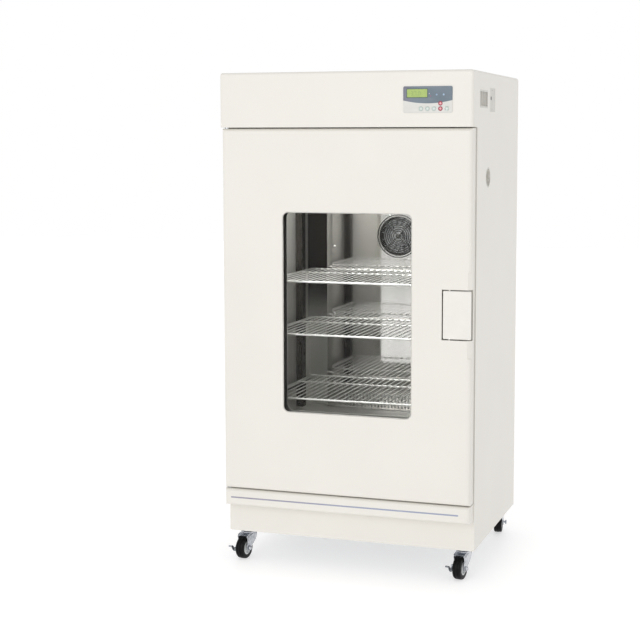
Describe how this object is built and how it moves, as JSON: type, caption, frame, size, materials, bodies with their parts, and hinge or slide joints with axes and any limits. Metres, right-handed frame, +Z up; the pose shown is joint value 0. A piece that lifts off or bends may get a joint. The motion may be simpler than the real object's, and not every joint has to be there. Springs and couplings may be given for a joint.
{
  "type": "forced convection oven",
  "caption": "Floor-standing forced convection oven on braked casters, with a glazed side-hinged door, wire shelves, a rear fan and a keypad head.",
  "frame": {"origin": "on the floor, under the centre of the oven's bounding box", "axes": "+Z up, -Y out of the door's front, +X to the viewer's right when facing the door"},
  "size_m": [0.74, 0.618, 1.428],
  "materials": {
    "cabinet_paint": "semi-gloss",
    "handle_plastic": "moulded, matched to the paint",
    "grille_plastic": "matt",
    "stainless": "bright",
    "polished_wire": "electropolished",
    "zinc": "zinc plated",
    "dark_wire": "satin black",
    "heater_sheath": "heat tinted",
    "motor_housing": "cast",
    "mineral_wool": "fibrous",
    "window_glass": "clear toughened",
    "seal_rubber": "silicone",
    "bush_brass": "turned",
    "tyre_rubber": "smooth",
    "hub_plastic": "moulded",
    "panel_plastic": "moulded",
    "display_green": "clear over green",
    "board_green": "laminate",
    "key_grey": "moulded",
    "key_red": "moulded",
    "black_plastic": "moulded",
    "sleeve_plastic": "moulded"
  },
  "bodies": {
    "cabinet": {"left_side_panel": "cabinet_paint", "right_side_panel": "cabinet_paint", "top_panel": "cabinet_paint", "head_front_panel": "cabinet_paint", "front_frame": "cabinet_paint", "base_pan": "cabinet_paint", "rear_cover": "cabinet_paint", "lower_trim": "cabinet_paint", "hinge_brackets": "zinc", "chamber_liner": "stainless", "chamber_insulation": "mineral_wool", "duct_panel": "stainless", "fan_guard": "dark_wire", "fan_motor": "motor_housing", "heating_element": "heater_sheath", "temperature_probe": "dark_wire", "shelf_uprights": "stainless", "shelf_runners": "stainless", "control_bezel": "panel_plastic", "display_lens": "display_green", "control_board": "board_green", "side_vent_grille": "grille_plastic", "service_plate": "cabinet_paint", "test_port_sleeve": "sleeve_plastic", "cable_gland": "black_plastic", "caster_plates": "zinc"},
    "door": {"door_skin": "cabinet_paint", "door_inner_panel": "stainless", "window_panes": "window_glass", "door_insulation": "mineral_wool", "door_gasket": "seal_rubber", "hinge_bushes": "bush_brass", "handle_cup": "handle_plastic"},
    "paddle": {"handle_paddle": "handle_plastic"},
    "release": {"release_pin": "zinc"},
    "fan": {"fan_wheel": "dark_wire"},
    "upper_shelf": {"upper_shelf": "polished_wire"},
    "middle_shelf": {"middle_shelf": "polished_wire"},
    "lower_shelf": {"lower_shelf": "polished_wire"},
    "key_1": {"key_1": "key_grey"},
    "key_2": {"key_2": "key_grey"},
    "key_3": {"key_3": "key_grey"},
    "key_4": {"key_4": "key_red"},
    "key_5": {"key_5": "key_grey"},
    "key_6": {"key_6": "key_red"},
    "reset_button": {"reset_button": "black_plastic"},
    "front_left_caster": {"front_left_fork": "zinc"},
    "front_left_wheel": {"front_left_tyre": "tyre_rubber", "front_left_hub": "hub_plastic"},
    "front_left_brake": {"front_left_brake_lever": "zinc"},
    "front_right_caster": {"front_right_fork": "zinc"},
    "front_right_wheel": {"front_right_tyre": "tyre_rubber", "front_right_hub": "hub_plastic"},
    "front_right_brake": {"front_right_brake_lever": "zinc"},
    "rear_left_caster": {"rear_left_fork": "zinc"},
    "rear_left_wheel": {"rear_left_tyre": "tyre_rubber", "rear_left_hub": "hub_plastic"},
    "rear_right_caster": {"rear_right_fork": "zinc"},
    "rear_right_wheel": {"rear_right_tyre": "tyre_rubber", "rear_right_hub": "hub_plastic"}
  },
  "joints": [
    {"name": "door_hinge", "type": "hinge", "parent": "cabinet", "child": "door", "pos_m": [-0.357, -0.283, 0.75], "axis": [0, 0, -1], "range_deg": [0, 115]},
    {"name": "paddle_rock", "type": "hinge", "parent": "door", "child": "paddle", "pos_m": [0.305, -0.297, 0.76], "axis": [0, 0, -1], "range_deg": [0, 15], "stiffness_Nm_per_rad": 0.5},
    {"name": "release_push", "type": "slide", "parent": "door", "child": "release", "axis": [0, 1, 0], "range_m": [0, 0.0033]},
    {"name": "fan_spin", "type": "hinge", "parent": "cabinet", "child": "fan", "pos_m": [0.02, 0.2, 0.941], "axis": [0, 1, 0], "continuous": true},
    {"name": "upper_shelf_slide", "type": "slide", "parent": "cabinet", "child": "upper_shelf", "axis": [0, -1, 0], "range_m": [0, 0.015]},
    {"name": "middle_shelf_slide", "type": "slide", "parent": "cabinet", "child": "middle_shelf", "axis": [0, -1, 0], "range_m": [0, 0.015]},
    {"name": "lower_shelf_slide", "type": "slide", "parent": "cabinet", "child": "lower_shelf", "axis": [0, -1, 0], "range_m": [0, 0.015]},
    {"name": "key_1_press", "type": "slide", "parent": "cabinet", "child": "key_1", "axis": [0, 1, 0], "range_m": [0, 0.0008], "stiffness_N_per_m": 400},
    {"name": "key_2_press", "type": "slide", "parent": "cabinet", "child": "key_2", "axis": [0, 1, 0], "range_m": [0, 0.0008], "stiffness_N_per_m": 400},
    {"name": "key_3_press", "type": "slide", "parent": "cabinet", "child": "key_3", "axis": [0, 1, 0], "range_m": [0, 0.0008], "stiffness_N_per_m": 400},
    {"name": "key_4_press", "type": "slide", "parent": "cabinet", "child": "key_4", "axis": [0, 1, 0], "range_m": [0, 0.0008], "stiffness_N_per_m": 400},
    {"name": "key_5_press", "type": "slide", "parent": "cabinet", "child": "key_5", "axis": [0, 1, 0], "range_m": [0, 0.0008], "stiffness_N_per_m": 400},
    {"name": "key_6_press", "type": "slide", "parent": "cabinet", "child": "key_6", "axis": [0, 1, 0], "range_m": [0, 0.0008], "stiffness_N_per_m": 400},
    {"name": "reset_press", "type": "slide", "parent": "cabinet", "child": "reset_button", "axis": [-1, 0, 0], "range_m": [0, 0.002], "stiffness_N_per_m": 500},
    {"name": "front_left_swivel", "type": "hinge", "parent": "cabinet", "child": "front_left_caster", "pos_m": [-0.33, -0.212, 0.08], "axis": [0, 0, 1], "continuous": true},
    {"name": "front_left_roll", "type": "hinge", "parent": "front_left_caster", "child": "front_left_wheel", "pos_m": [-0.3339, -0.23973, 0.0325], "axis": [0.9903, -0.1392, 0], "continuous": true},
    {"name": "front_left_brake_press", "type": "hinge", "parent": "front_left_caster", "child": "front_left_brake", "pos_m": [-0.3339, -0.23973, 0.0325], "axis": [0.9903, -0.1392, 0], "range_deg": [0, 18]},
    {"name": "front_right_swivel", "type": "hinge", "parent": "cabinet", "child": "front_right_caster", "pos_m": [0.33, -0.212, 0.08], "axis": [0, 0, 1], "continuous": true},
    {"name": "front_right_roll", "type": "hinge", "parent": "front_right_caster", "child": "front_right_wheel", "pos_m": [0.3261, -0.23973, 0.0325], "axis": [0.9903, -0.1392, 0], "continuous": true},
    {"name": "front_right_brake_press", "type": "hinge", "parent": "front_right_caster", "child": "front_right_brake", "pos_m": [0.3261, -0.23973, 0.0325], "axis": [0.9903, -0.1392, 0], "range_deg": [0, 18]},
    {"name": "rear_left_swivel", "type": "hinge", "parent": "cabinet", "child": "rear_left_caster", "pos_m": [-0.33, 0.243, 0.08], "axis": [0, 0, 1], "continuous": true},
    {"name": "rear_left_roll", "type": "hinge", "parent": "rear_left_caster", "child": "rear_left_wheel", "pos_m": [-0.32707, 0.27085, 0.0325], "axis": [-0.9945, 0.1045, 0], "continuous": true},
    {"name": "rear_right_swivel", "type": "hinge", "parent": "cabinet", "child": "rear_right_caster", "pos_m": [0.33, 0.243, 0.08], "axis": [0, 0, 1], "continuous": true},
    {"name": "rear_right_roll", "type": "hinge", "parent": "rear_right_caster", "child": "rear_right_wheel", "pos_m": [0.32659, 0.27079, 0.0325], "axis": [-0.9925, -0.1219, 0], "continuous": true}
  ],
  "couplings": [
    {"joint": "release_push", "follows": "paddle_rock", "m_per_rad": 0.0125}
  ]
}
